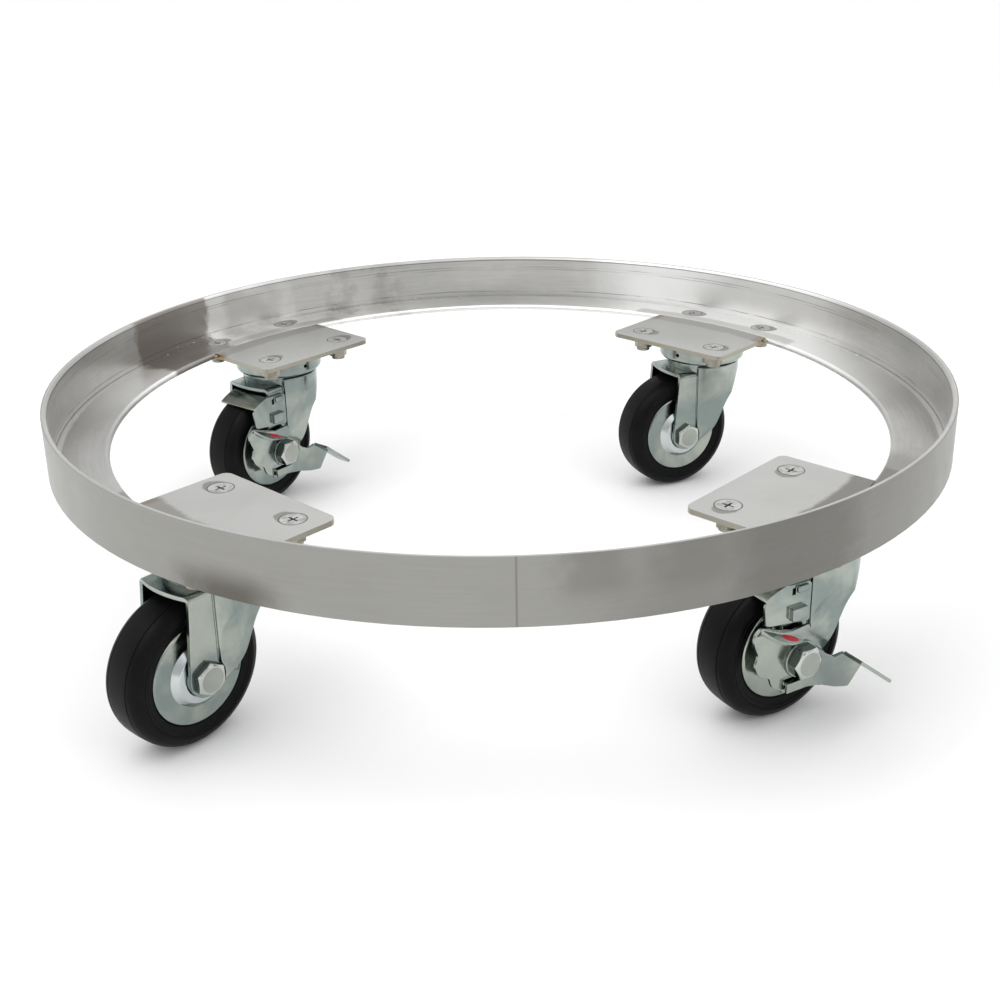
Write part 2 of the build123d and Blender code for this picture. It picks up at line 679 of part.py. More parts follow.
def make_pedal_arm(bend, inner_face):
    """Web that leaves the lever plate outwards, with the sloping pedal folded along its top."""
    pedal_start, pedal_end, pedal_width, pedal_edge = (28.5, 0.3), (57.0, -22.7), 15.0, 36.5
    middle = -inner_face - BRAKE_SHEET / 2
    with BuildPart() as arm:
        with BuildSketch(Plane((-TRAIL, 0, 0))):
            with BuildLine():
                Polyline((bend - 2, middle), (bend, middle), (bend + 11, middle - 9.5),
                         (bend + 22, middle - 14.5))
            trace(line_width=BRAKE_SHEET)
        extrude(amount=AXLE_Z)
        with BuildSketch(axle_plane(0)):
            Polygon((bend - 2, -24.5), (bend - 2, 1), (bend + 1, -2.5), (bend + 5, -4.5), (28.5, -1),
                    (38.5, -9), (31.5, -24), (25, -25.2), align=None)
        extrude(amount=3 * FORK_HALF, mode=Mode.INTERSECT)
        run = Vector(pedal_end[0] - pedal_start[0], 0, pedal_end[1] - pedal_start[1])
        pedal_plane = Plane((pedal_start[0] - TRAIL, -pedal_edge, pedal_start[1] + AXLE_Z),
                            x_dir=run, z_dir=(-run.Z, 0, run.X))
        with BuildSketch(pedal_plane) as pedal:
            Rectangle(run.length, pedal_width, align=(Align.MIN, Align.MAX))
            fillet(pedal.vertices().group_by(Axis.X)[-1], 4)
        extrude(amount=-BRAKE_SHEET)
    return arm


# ---- build and write every piece -----------------------------------------------------
ring_frame = make_ring()
write(ring_frame, "ring_frame")
write(make_group(make_screw(), fastener_spots(MOUNT_TOP)), "plate_screws")
write(make_group(make_lock_nut(), fastener_spots(NUT_TOP)), "lock_nuts")
write(make_group(make_kingpin(), swivel_spots()), "kingpins")
write(make_group(make_lower_race(), swivel_spots()), "lower_races")

race_cup = make_race_cup()
swivel_balls = make_swivel_balls()
axle_nut = make_axle_nut()
axle_sleeve = make_sleeve()
tyre = make_tyre()
outer_disc = make_disc(1)
inner_disc = make_disc(-1)
hub_bush = make_hub()
plain_fork, braked_fork = make_fork(False), make_fork(True)
plain_bolt = make_axle_bolt(FORK_HALF, 4.5, 30)
braked_bolt = make_axle_bolt(WASHER_FACE, 7.5, 0)
lever_washer = make_washer()
brake_shoe = make_brake_shoe()
brake_lever = make_brake_lever()

for corner, (place, heading, wheel_turn, braked) in STATIONS.items():
    station = caster_plane(place, heading).location
    wheel = station * axle_plane(0).location * Rotation(0, 0, wheel_turn)
    write(make_pad(place, ring_frame), f"pad_plate_{corner}")
    write(make_top_plate(place), f"top_plate_{corner}")
    write(race_cup, f"race_cup_{corner}", pad_plane(place).location)
    write(swivel_balls, f"swivel_balls_{corner}", station)
    write(braked_fork if braked else plain_fork, f"fork_{corner}", station)
    write(braked_bolt if braked else plain_bolt, f"axle_bolt_{corner}", station)
    write(axle_nut, f"axle_nut_{corner}", station)
    write(axle_sleeve, f"axle_sleeve_{corner}", station)
    write(tyre, f"tyre_{corner}", wheel)
    write(outer_disc, f"outer_disc_{corner}", wheel)
    write(inner_disc, f"inner_disc_{corner}", wheel)
    write(hub_bush, f"hub_bush_{corner}", wheel)
    if braked:
        write(lever_washer, f"lever_washer_{corner}", station)
        write(brake_shoe, f"brake_shoe_{corner}", station)
        write(brake_lever, f"brake_lever_{corner}", station)
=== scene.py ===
import json
import math
import random

import bmesh
import bpy
from mathutils import Matrix, Vector
from mathutils.bvhtree import BVHTree


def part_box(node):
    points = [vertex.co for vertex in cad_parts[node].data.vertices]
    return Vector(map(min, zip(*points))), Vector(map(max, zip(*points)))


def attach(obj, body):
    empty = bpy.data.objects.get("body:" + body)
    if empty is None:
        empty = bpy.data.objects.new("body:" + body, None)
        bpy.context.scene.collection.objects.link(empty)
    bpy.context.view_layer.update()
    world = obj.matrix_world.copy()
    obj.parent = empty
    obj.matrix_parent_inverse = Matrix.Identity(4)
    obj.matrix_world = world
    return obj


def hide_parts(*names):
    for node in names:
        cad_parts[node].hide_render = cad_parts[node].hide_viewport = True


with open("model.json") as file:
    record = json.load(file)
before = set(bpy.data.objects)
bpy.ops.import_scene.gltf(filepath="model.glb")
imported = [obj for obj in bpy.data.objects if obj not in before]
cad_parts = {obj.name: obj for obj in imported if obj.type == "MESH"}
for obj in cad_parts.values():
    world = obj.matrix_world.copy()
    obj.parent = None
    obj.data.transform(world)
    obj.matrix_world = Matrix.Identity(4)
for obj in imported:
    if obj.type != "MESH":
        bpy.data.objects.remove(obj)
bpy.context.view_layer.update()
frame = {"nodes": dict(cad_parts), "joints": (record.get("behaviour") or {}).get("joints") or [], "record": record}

MM = 0.001
CORNERS = ("front_left", "front_right", "rear_left", "rear_right")
BRAKED = ("front_right", "rear_left")
PAD_PLACES = {"front_left": 225, "front_right": 315, "rear_left": 135, "rear_right": 45}
FLANGE_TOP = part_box("pad_plate_front_left")[1].z
SCREW_ROWS = (0.2215, 0.2935)
SCREW_HALF_SPAN = 0.036
GROUND_STEEL = (0.20, 0.188, 0.172)
TOOL_MARK_STEEL = (0.22, 0.205, 0.19)
RIM_DIRT = (0.08, 0.072, 0.065)

joints = {j["name"]: j for j in frame["joints"]}
slots = {s["node"]: s["material_slot"] for s in frame["record"]["subparts"]}
bodies = {n: b for b, nodes in frame["record"]["behaviour"]["bodies"].items() for n in nodes}


# ---- camera ---------------------------------------------------------------------------
def make_camera():
    """Camera about 20 degrees above the floor, with a slight roll."""
    pitch, roll, turn = math.radians(20.344), math.radians(-1.018), math.radians(-1.96)
    distance, aim_height = 0.9822, 0.1295
    back = Vector((0, -math.cos(pitch), math.sin(pitch)))
    up = Vector((0, math.sin(pitch), math.cos(pitch)))
    side = Vector((1, 0, 0))
    rolled_side = math.cos(roll) * side + math.sin(roll) * up
    rolled_up = math.cos(roll) * up - math.sin(roll) * side
    axes = Matrix((rolled_side, rolled_up, back)).transposed().to_4x4()
    camera = bpy.data.objects.new("camera", bpy.data.cameras.new("camera"))
    bpy.context.scene.collection.objects.link(camera)
    place = Matrix.Rotation(turn, 4, "Z") @ Matrix.Translation(back * distance) @ axes
    camera.matrix_world = Matrix.Translation((0, 0, aim_height)) @ place
    camera.data.sensor_width = 36
    camera.data.lens = 48.436
    camera.data.shift_x = 0.0004
    camera.data.shift_y = -0.0867
    camera.data.clip_start, camera.data.clip_end = 0.01, 100
    bpy.context.scene.camera = camera


# ---- node materials --------------------------------------------------------------------
class Shader:
    """One node tree, built with short calls. Values may be numbers, tuples or sockets."""

    def __init__(self, name, owner=None):
        self.material = owner or bpy.data.materials.new(name)
        self.material.use_nodes = True
        tree = self.material.node_tree
        self.nodes, self.links = tree.nodes, tree.links
        self.nodes.clear()
        self.place = self.add("ShaderNodeTexCoord").outputs["Object"]

    def add(self, kind, inputs=None, **settings):
        node = self.nodes.new(kind)
        for key, value in settings.items():
            setattr(node, key, value)
        for key, value in (inputs or {}).items():
            self.feed(node.inputs[key], value)
        return node

    def feed(self, socket, value):
        if isinstance(value, bpy.types.NodeSocket):
            self.links.new(value, socket)
        elif socket.type == "RGBA" and len(value) == 3:
            socket.default_value = (*value, 1)
        else:
            socket.default_value = value

    def math(self, operation, a, b=0.0, c=0.0):
        return self.add("ShaderNodeMath", {0: a, 1: b, 2: c}, operation=operation).outputs[0]

    def smooth(self, value, low, high):
        """0 below low, 1 above high, smooth between."""
        ends = {"Value": value, "From Min": low, "From Max": high}
        return self.add("ShaderNodeMapRange", ends, interpolation_type="SMOOTHSTEP").outputs[0]

    def window(self, value, centre, half, soft):
        """1 within half of the centre, 0 beyond half + soft."""
        off = self.math("ABSOLUTE", self.math("SUBTRACT", value, centre))
        return self.rest_of(self.smooth(off, half, half + soft))

    def times(self, value, factor):
        return self.math("MULTIPLY", value, factor)

    def rest_of(self, value):
        return self.math("SUBTRACT", 1.0, value)

    def uneven(self, scale, size, detail=3.0):
        """Noise centred on zero, size wide in all."""
        return self.times(self.math("SUBTRACT", self.noise(self.place, scale, detail), 0.5), size)

    def span(self, value, low, high):
        """value from 0 to 1 spread over low to high."""
        return self.math("MULTIPLY_ADD", value, high - low, low)

    def noise(self, vector, scale, detail=3.0, rough=0.55, distortion=0.0):
        inputs = {"Vector": vector, "Scale": scale, "Detail": detail, "Roughness": rough,
                  "Distortion": distortion}
        return self.add("ShaderNodeTexNoise", inputs).outputs["Fac"]

    def mix(self, factor, a, b):
        node = self.add("ShaderNodeMix", data_type="RGBA")
        for index, value in ((0, factor), (6, a), (7, b)):
            self.feed(node.inputs[index], value)
        return node.outputs[2]

    def overlay(self, colour, *layers):
        """Lays (mask, strength, colour) layers over a colour, in order."""
        for mask, strength, tone in layers:
            colour = self.mix(self.times(mask, strength), colour, tone)
        return colour

    def product(self, *values):
        total = values[0]
        for value in values[1:]:
            total = self.times(total, value)
        return total

    def most(self, *values):
        total = values[0]
        for value in values[1:]:
            total = self.math("MAXIMUM", total, value)
        return total

    def vector(self, x, y, z):
        return self.add("ShaderNodeCombineXYZ", {0: x, 1: y, 2: z}).outputs[0]

    def length(self, vector):
        return self.add("ShaderNodeVectorMath", {0: vector}, operation="LENGTH").outputs[1]

    def split(self, vector):
        return self.add("ShaderNodeSeparateXYZ", {0: vector}).outputs

    def bump(self, height, distance, strength=1.0, normal=None):
        inputs = {"Height": height, "Distance": distance, "Strength": strength}
        if normal:
            inputs["Normal"] = normal
        return self.add("ShaderNodeBump", inputs).outputs["Normal"]

    def finish(self, **inputs):
        shader = self.add("ShaderNodeBsdfPrincipled",
                          {k.replace("_", " "): v for k, v in inputs.items()})
        output = self.add("ShaderNodeOutputMaterial")
        self.links.new(shader.outputs[0], output.inputs[0])
        return self.material


class Round(Shader):
    """Shader with the ring's own coordinates: round it, across it, and by the nearest pad."""

    def __init__(self, name):
        super().__init__(name)
        self.x, self.y, self.z = self.split(self.place)[0:3]
        flat = self.vector(self.x, self.y, 0.0)
        self.radius = self.length(flat)
        self.east = self.math("DIVIDE", self.x, self.radius)
        self.north = self.math("DIVIDE", self.y, self.radius)
        self.angle = self.math("ARCTAN2", self.y, self.x)
        quarter = math.pi / 4
        fold = self.math("WRAP", self.math("SUBTRACT", self.angle, quarter), quarter, -quarter)
        self.outward = self.times(self.radius, self.math("COSINE", fold))
        self.across = self.times(self.radius, self.math("SINE", fold))
        self.height = self.math("ADD", self.z, self.radius)

    def grain(self, along, over, scale=1.0, detail=3.0):
        """Noise stretched round the ring: along is its frequency round it, over across it."""
        vector = self.vector(self.times(self.east, along),
                             self.times(self.north, along),
                             self.times(self.height, over))
        return self.noise(vector, scale, detail)

    def bearing(self, degrees, half, soft, wobble):
        """1 near one angle round the ring, with an uneven edge."""
        off = self.math("SUBTRACT", self.angle, math.radians((degrees + 180) % 360 - 180))
        off = self.math("WRAP", off, math.pi, -math.pi)
        off = self.math("ADD", off, wobble)
        return self.window(off, 0.0, math.radians(half), math.radians(soft))

    def ground_seam(self, wobble):
        """Band ground smooth along the weld between the flange and each pad."""
        seam = self.window(self.math("ADD", self.radius, wobble), 0.2750, 0.0115, 0.0045)
        side = self.window(self.math("ADD", self.across, wobble), 0.0, 0.076, 0.006)
        front = self.rest_of(self.smooth(self.y, -0.05, 0.05))
        right = self.product(front, self.smooth(self.x, -0.05, 0.05))
        strength = self.math("ADD", self.span(front, 0.45, 0.80), self.times(right, 0.40))
        return self.product(seam, side, strength)

    def from_screws(self, outward_shift, across_shift, squash):
        """Distances to the four screws of the nearest pad, or to points shifted from them."""
        distances = []
        for outward in SCREW_ROWS:
            for across in (-SCREW_HALF_SPAN, SCREW_HALF_SPAN):
                dx = self.math("SUBTRACT", self.outward, outward + outward_shift)
                dy = self.math("SUBTRACT", self.across, across + across_shift)
                spot = self.vector(dx, self.times(dy, squash), 0.0)
                distances.append(self.length(spot))
        return distances

    def tool_marks(self, wobble):
        """Dull run-out of the countersinking tool beside each screw."""
        marks = []
        for far in self.from_screws(0.001, -0.0042, 0.85):
            far = self.math("ADD", far, wobble)
            marks.append(self.rest_of(self.smooth(far, 0.0070, 0.0088)))
        return self.most(*marks)

    def screw_rims(self):
        """Dirt in the countersink round each screw head."""
        return self.most(*[self.window(far, 0.0085, 0.0003, 0.0004)
                           for far in self.from_screws(0.0, 0.0, 1.0)])


def scribed_lines(s, inside):
    """Fine lines scored round the inner face of the rim, broken except the one at its lip."""
    waver = s.uneven(14.0, 0.0022)
    lines = []
    for height, strength in ((0.1672, 1.0), (0.1610, 0.7), (0.1588, 0.55), (0.1376, 0.9)):
        at_lip = height > 0.166
        line = s.window(s.math("ADD", s.z, 0.0 if at_lip else waver), height, 0.00012, 0.0004)
        present = s.smooth(s.noise(s.place, 11.0 + 700 * (0.17 - height), 2.0), 0.40, 0.58)
        present = s.math("MAXIMUM", present, 1.0 if at_lip else 0.25)
        lines.append(s.product(line, present, strength))
    return s.product(s.most(*lines), inside)


def ring_material():
    """Rolled and ground stainless: streaks round it, ground patches, heat tint and stains, with painted highlights
    and painted shade.
    """
    s = Round("stainless_ring")
    big = s.noise(s.place, 9.0, 4.0, 0.6)
    small = s.noise(s.place, 42.0, 4.0, 0.6)
    streaks = s.grain(7.0, 420.0, detail=4.0)
    fine = s.grain(30.0, 3200.0)
    sanding = s.grain(1500.0, 40.0)
    wobble = s.times(s.math("SUBTRACT", small, 0.5), 0.006)
    swing = s.uneven(60.0, 0.09)

    # regions of the ring
    inside = s.rest_of(s.smooth(s.radius, 0.3125, 0.3135))
    outside = s.smooth(s.radius, 0.3140, 0.3148)
    on_flange = s.smooth(s.z, FLANGE_TOP - 0.001, FLANGE_TOP - 0.0005)
    flange = s.rest_of(s.smooth(s.radius, 0.3070, 0.3085))
    corner = s.product(s.window(s.radius, 0.3083, 0.0012, 0.0014), inside)
    upper = s.smooth(s.z, 0.1375, 0.1535)
    lower = s.rest_of(s.smooth(s.z, 0.1330, 0.1530))

    # marks left by the making
    seam = s.product(s.ground_seam(wobble), on_flange)
    sanded = s.product(inside, s.bearing(149.0, 7.0, 1.6, swing))
    buffed = s.most(
        s.product(inside, s.bearing(132.0, 4.0, 3.0, swing), s.smooth(big, 0.42, 0.56)),
        s.product(inside, s.bearing(112.0, 5.0, 4.0, swing), s.smooth(small, 0.45, 0.62)))
    weld_side = s.most(
        s.product(outside, s.bearing(276.5, 1.5, 3.4, swing), upper),
        s.product(outside, s.bearing(286.5, 1.5, 4.0, swing), upper, 0.8))
    butt_joint = s.product(outside, s.bearing(269.3, 0.05, 0.10, 0.0))
    low_stain = s.product(outside, s.bearing(240.0, 1.0, 8.0, swing), lower)
    marks = s.product(s.tool_marks(wobble), on_flange)
    rims = s.product(s.screw_rims(), on_flange)
    scribed = scribed_lines(s, inside)

    # broad tones round the ring: a random base tone, with painted highlights and painted shade at set bearings
    painted_highlight = s.most(s.bearing(47.0, 14.0, 16.0, swing),
                      s.times(s.bearing(136.0, 6.0, 8.0, swing), 0.85))
    # painted shade at the far left and right ends of the inner wall
    ends = s.most(s.bearing(181.0, 6.0, 14.0, swing), s.bearing(359.0, 6.0, 14.0, swing))
    shade = s.most(s.times(s.bearing(316.0, 30.0, 14.0, swing), 0.42),
                   s.times(s.bearing(193.0, 8.0, 12.0, swing), 0.18),
                   s.times(s.bearing(345.0, 6.0, 10.0, swing), 0.16),
                   s.times(s.bearing(299.0, 4.0, 12.0, swing), 0.72))
    base = s.mix(s.smooth(big, 0.35, 0.65), (0.53, 0.525, 0.51), (0.47, 0.465, 0.45))
    colour = s.overlay(
        base,
        (s.smooth(streaks, 0.30, 0.75), 0.6, (0.41, 0.40, 0.385)),
        (s.smooth(small, 0.52, 0.75), 0.3, (0.36, 0.35, 0.33)),
        (s.smooth(fine, 0.35, 0.75), 0.25, (0.62, 0.615, 0.60)),
        # painted highlight: the inner wall lighter at two bearings, standing in for a bright reflection
        (s.product(inside, painted_highlight), 0.9, (0.88, 0.875, 0.865)),
        # painted highlight: the flange lighter towards the back
        (s.product(flange, s.smooth(s.y, -0.02, 0.09)), 0.85, (0.95, 0.95, 0.935)),
        # painted shade: the inner wall darker at its far left and right ends
        (s.product(inside, s.smooth(s.radius, 0.3090, 0.3110), ends), 0.30, (0.16, 0.155, 0.145)),
        # painted shade on the flange at the front right, beside that pad
        (s.product(flange, s.bearing(329.0, 5.0, 7.0, swing)), 0.6, (0.19, 0.18, 0.165)),
        # painted highlight: a bright line along the inner corner between wall and flange
        (corner, 0.8, (0.95, 0.95, 0.94)))
    # painted shade: the outer face of the wall darker all round, and darker still where the shade mask is painted
    # by bearing
    outer_painted_shade = s.mix(0.85, colour, (0.245, 0.243, 0.225))
    outer_painted_shade = s.mix(shade, outer_painted_shade, (0.085, 0.080, 0.070))
    colour = s.overlay(
        colour,
        (outside, 0.9, outer_painted_shade),
        (sanded, 0.78, (0.205, 0.180, 0.155)),
        (buffed, 0.35, (0.27, 0.25, 0.225)),
        (weld_side, 0.40, (0.15, 0.140, 0.125)),
        (butt_joint, 0.6, (0.16, 0.15, 0.13)),
        (low_stain, 0.85, (0.10, 0.095, 0.075)),
        (seam, 0.8, GROUND_STEEL),
        (marks, 0.75, TOOL_MARK_STEEL),
        (scribed, 0.75, (0.13, 0.115, 0.12)),
        (rims, 0.8, RIM_DIRT))

    rough = s.span(s.noise(s.place, 25.0, 5.0, 0.65), 0.24, 0.46)
    rough = s.math("SUBTRACT", rough, s.times(corner, 0.14))
    rough = s.math("ADD", rough, s.span(fine, -0.05, 0.05))
    rough = s.math("SUBTRACT", rough, s.times(s.most(sanded, seam), 0.04))
    lines = s.math("ADD", s.times(fine, 0.6), s.times(streaks, 0.4))
    patches = s.smooth(s.noise(s.place, 16.0), 0.48, 0.58)
    lines = s.math("ADD", lines, s.product(sanding, s.most(patches, sanded, weld_side), 1.2))
    normal = s.bump(lines, 0.00006, 0.5)
    normal = s.bump(s.noise(s.place, 30.0, 3.0), 0.0006, 0.22, normal)
    return s.finish(Base_Color=colour, Metallic=1.0, Roughness=rough, Normal=normal)


def plate_material():
    """Satin stainless plate, ground along the weld, tinted at its corners and cut edges."""
    s = Round("stainless_plate")
    big = s.noise(s.place, 14.0, 4.0, 0.6)
    small = s.noise(s.place, 70.0, 4.0, 0.6)
    wobble = s.times(s.math("SUBTRACT", small, 0.5), 0.006)
    brushed = s.vector(s.times(s.outward, 60.0), s.times(s.across, 2600.0), s.z)
    lines = s.noise(brushed, 1.0, 4.0)
    top = s.smooth(s.z, FLANGE_TOP - 0.0008, FLANGE_TOP - 0.0003)
    seam = s.product(s.ground_seam(wobble), top)
    marks = s.product(s.tool_marks(wobble), top)
    weld = s.product(s.window(s.math("ABSOLUTE", s.across), 0.056, 0.004, 0.006),
                     s.window(s.outward, 0.268, 0.006, 0.010), s.smooth(small, 0.3, 0.55))
    cells = s.add("ShaderNodeTexVoronoi", {"Vector": s.place, "Scale": 260.0}).outputs["Distance"]
    specks = s.product(s.rest_of(s.smooth(cells, 0.06, 0.14)), s.smooth(big, 0.55, 0.65))
    base = s.mix(s.smooth(big, 0.3, 0.7), (0.51, 0.51, 0.49), (0.46, 0.46, 0.44))
    colour = s.overlay(
        base,
        (s.smooth(lines, 0.4, 0.7), 0.3, (0.46, 0.46, 0.44)),
        (s.smooth(small, 0.62, 0.75), 0.3, (0.43, 0.42, 0.40)),
        (s.rest_of(top), 0.75, (0.33, 0.305, 0.235)),
        (weld, 0.8, (0.30, 0.19, 0.08)),
        (seam, 0.8, GROUND_STEEL),
        (marks, 0.85, TOOL_MARK_STEEL),
        (s.product(s.screw_rims(), top), 0.8, RIM_DIRT),
        (specks, 0.5, (0.2, 0.18, 0.15)))
    rough = s.math("ADD", s.span(small, 0.30, 0.42), s.span(lines, -0.05, 0.05))
    rough = s.math("SUBTRACT", rough, s.times(s.most(seam, marks), 0.05))
    normal = s.bump(lines, 0.00004, 0.5)
    normal = s.bump(s.noise(s.place, 28.0, 2.0), 0.0005, 0.15, normal)
    return s.finish(Base_Color=colour, Metallic=1.0, Roughness=rough, Normal=normal)


def fastener_material(name, bright, dull):
    """Machined stainless with painted shade in its hollows."""
    s = Shader(name)
    small = s.noise(s.place, 220.0, 4.0, 0.6)
    crevice_shade = s.add("ShaderNodeAmbientOcclusion", {"Distance": 0.0018}, samples=8).outputs["AO"]
    colour = s.mix(s.smooth(small, 0.35, 0.7), bright, dull)
    # painted shade in hollows and where parts meet
    colour = s.mix(s.smooth(crevice_shade, 0.25, 0.8), (0.06, 0.055, 0.05), colour)
    turned = s.noise(s.place, 1400.0, 2.0)
    rough = s.span(small, 0.20, 0.38)
    return s.finish(Base_Color=colour, Metallic=1.0, Roughness=rough,
                    Normal=s.bump(turned, 0.00003, 0.4))


def zinc_material(name, pale, deep, edge):
    """Bright zinc plating: faint blue-green, smudged, with dull pits, a painted teal reflection at grazing angles
    and painted shade in hollows.
    """
    s = Shader(name)
    big = s.noise(s.place, 24.0, 4.0, 0.6, 0.4)
    small = s.noise(s.place, 160.0, 4.0, 0.6)
    # painted reflection: the colour turns towards the edge tone where the surface is seen at a grazing angle
    painted_sheen = s.add("ShaderNodeLayerWeight", {"Blend": 0.35}).outputs["Facing"]
    colour = s.mix(s.smooth(big, 0.35, 0.65), pale, deep)
    cells = s.add("ShaderNodeTexVoronoi", {"Vector": s.place, "Scale": 330.0}).outputs["Distance"]
    pits = s.product(s.rest_of(s.smooth(cells, 0.05, 0.13)), s.smooth(big, 0.56, 0.64))
    colour = s.overlay(
        colour,
        # painted reflection at grazing angles, in the edge tone
        (painted_sheen, 0.6, edge),
        (s.smooth(small, 0.58, 0.75), 0.2, (0.30, 0.31, 0.28)),
        (pits, 0.5, (0.18, 0.18, 0.16)))
    # painted shade in hollows and where parts meet
    crevice_shade = s.add("ShaderNodeAmbientOcclusion", {"Distance": 0.004}, samples=8).outputs["AO"]
    colour = s.mix(s.smooth(crevice_shade, 0.20, 0.75), (0.10, 0.12, 0.115), colour)
    smudge = s.noise(s.place, 46.0, 5.0, 0.7, 0.8)
    rough = s.span(s.smooth(smudge, 0.3, 0.7), 0.12, 0.26)
    normal = s.bump(s.noise(s.place, 75.0, 2.0), 0.0004, 0.14)
    return s.finish(Base_Color=colour, Metallic=1.0, Roughness=rough, Normal=normal)


def bright_steel_material(name, bright, dull):
    """Smooth bare steel: ball bearings, and beads of weld spatter."""
    s = Shader(name)
    small = s.noise(s.place, 300.0, 3.0)
    colour = s.mix(small, bright, dull)
    return s.finish(Base_Color=colour, Metallic=1.0, Roughness=s.span(small, 0.10, 0.24))


def rubber_material():
    """Black moulded rubber: faintly dusty on the tread, with a fine skin."""
    s = Shader("rubber_tyre")
    big = s.noise(s.place, 30.0, 4.0, 0.6)
    small = s.noise(s.place, 380.0, 3.0, 0.6)
    colour = s.mix(s.smooth(big, 0.4, 0.7), (0.0030, 0.0030, 0.0033), (0.0050, 0.0048, 0.0053))
    dust = s.product(s.smooth(s.noise(s.place, 90.0, 5.0, 0.7), 0.55, 0.75), 0.3)
    colour = s.mix(dust, colour, (0.012, 0.0115, 0.0125))
    rough = s.math("ADD", s.span(big, 0.34, 0.52), s.span(small, -0.04, 0.04))
    normal = s.bump(small, 0.00006, 0.35)
    normal = s.bump(s.noise(s.place, 60.0, 3.0), 0.0004, 0.2, normal)
    return s.finish(Base_Color=colour, Metallic=0.0, Roughness=rough, Specular_IOR_Level=0.10,
                    Normal=normal)


def paint_material():
    """Red marking paint, brushed on by hand."""
    s = Shader("marking_paint")
    tone = s.noise(s.place, 500.0, 3.0)
    colour = s.mix(tone, (0.46, 0.006, 0.016), (0.34, 0.003, 0.010))
    return s.finish(Base_Color=colour, Roughness=s.span(tone, 0.25, 0.4), Specular_IOR_Level=0.25,
                    Normal=s.bump(tone, 0.0001, 0.3))


def weld_material():
    """Heat-tinted weld metal: straw and brown over dull steel."""
    s = Shader("weld_metal")
    tone = s.noise(s.place, 240.0, 4.0, 0.6)
    colour = s.mix(s.smooth(tone, 0.35, 0.65), (0.34, 0.30, 0.24), (0.17, 0.10, 0.06))
    return s.finish(Base_Color=colour, Metallic=1.0, Roughness=s.span(tone, 0.3, 0.5),
                    Normal=s.bump(tone, 0.0002, 0.4))


MATERIALS = {
    "stainless_ring": ring_material(),
    "stainless_plate": plate_material(),
    "stainless_fastener": fastener_material(
        "stainless_fastener", (0.57, 0.565, 0.55), (0.34, 0.335, 0.32)),
    "zinc_steel": zinc_material(
        "zinc_steel", (0.43, 0.445, 0.395), (0.24, 0.275, 0.26), (0.17, 0.27, 0.28)),
    "bearing_steel": bright_steel_material("bearing_steel", (0.50, 0.50, 0.50), (0.36, 0.35, 0.34)),
    "rubber_tyre": rubber_material(),
}
PAINT = paint_material()
WELD = weld_material()
SPATTER = bright_steel_material("weld_beads", (0.94, 0.93, 0.92), (0.78, 0.77, 0.75))
NUT_METAL = fastener_material("nut_metal", (0.34, 0.32, 0.27), (0.24, 0.22, 0.18))
DOME_ZINC = zinc_material(
    "dome_zinc", (0.60, 0.635, 0.63), (0.53, 0.565, 0.565), (0.40, 0.48, 0.49))
BOLT_ZINC = zinc_material(
    "bolt_zinc", (0.40, 0.415, 0.37), (0.32, 0.335, 0.30), (0.20, 0.27, 0.27))
# painted highlight and painted shade copies of the bolt plating, for its bevel and its flats
BOLT_BEVEL_HIGHLIGHT = zinc_material(
    "bolt_bevel_highlight", (0.58, 0.595, 0.57), (0.47, 0.485, 0.46), (0.34, 0.40, 0.40))
BOLT_SIDE_SHADE = zinc_material(
    "bolt_side_shade", (0.25, 0.265, 0.24), (0.17, 0.185, 0.17), (0.12, 0.16, 0.16))


# ---- meshes ----------------------------------------------------------------------------
def add_object(name, mesh_maker, material, body, place=None):
    """Turns a bmesh into a smooth-shaded piece with the given material, riding on a body."""
    mesh = bpy.data.meshes.new(name)
    mesh_maker.to_mesh(mesh)
    mesh_maker.free()
    if place:
        mesh.transform(place)
    mesh.materials.append(material)
    piece = bpy.data.objects.new(name, mesh)
    bpy.context.scene.collection.objects.link(piece)
    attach(piece, body)
    return piece


def mark_sharp(mesh_maker, degrees):
    limit = math.radians(degrees)
    for face in mesh_maker.faces:
        face.smooth = True
    for edge in mesh_maker.edges:
        edge.smooth = len(edge.link_faces) == 2 and edge.calc_face_angle(0) < limit


def even_shading(piece):
    """Keeps large flat faces flat beside narrow rounded edges."""
    modifier = piece.modifiers.new("even_shading", "WEIGHTED_NORMAL")
    modifier.keep_sharp = True
    modifier.weight = 60


def softened(node, width, rounds=3, sharp=28, material=None):
    """Copy of a CAD node's mesh with its hard edges rounded by width; it stands for the node."""
    maker = bmesh.new()
    maker.from_mesh(frame["nodes"][node].data)
    bmesh.ops.remove_doubles(maker, verts=maker.verts, dist=2e-6)
    bmesh.ops.dissolve_limit(maker, angle_limit=math.radians(0.6), verts=maker.verts,
                             edges=maker.edges)
    surface = BVHTree.FromBMesh(maker)
    hard = [e for e in maker.edges
            if len(e.link_faces) == 2 and e.calc_face_angle(0) > math.radians(sharp)]
    bmesh.ops.bevel(maker, geom=hard, offset=width, offset_type="OFFSET", segments=rounds,
                    profile=0.5, affect="EDGES", clamp_overlap=False)
    for vert in maker.verts:
        spot, _, _, away = surface.find_nearest(vert.co)
        if away > 0.45 * width:
            vert.co = spot
    mark_sharp(maker, 32)
    slot = slots[node]
    piece = add_object(f"{node}_finish", maker, material or MATERIALS[slot], bodies[node])
    even_shading(piece)
    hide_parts(node)
    return piece


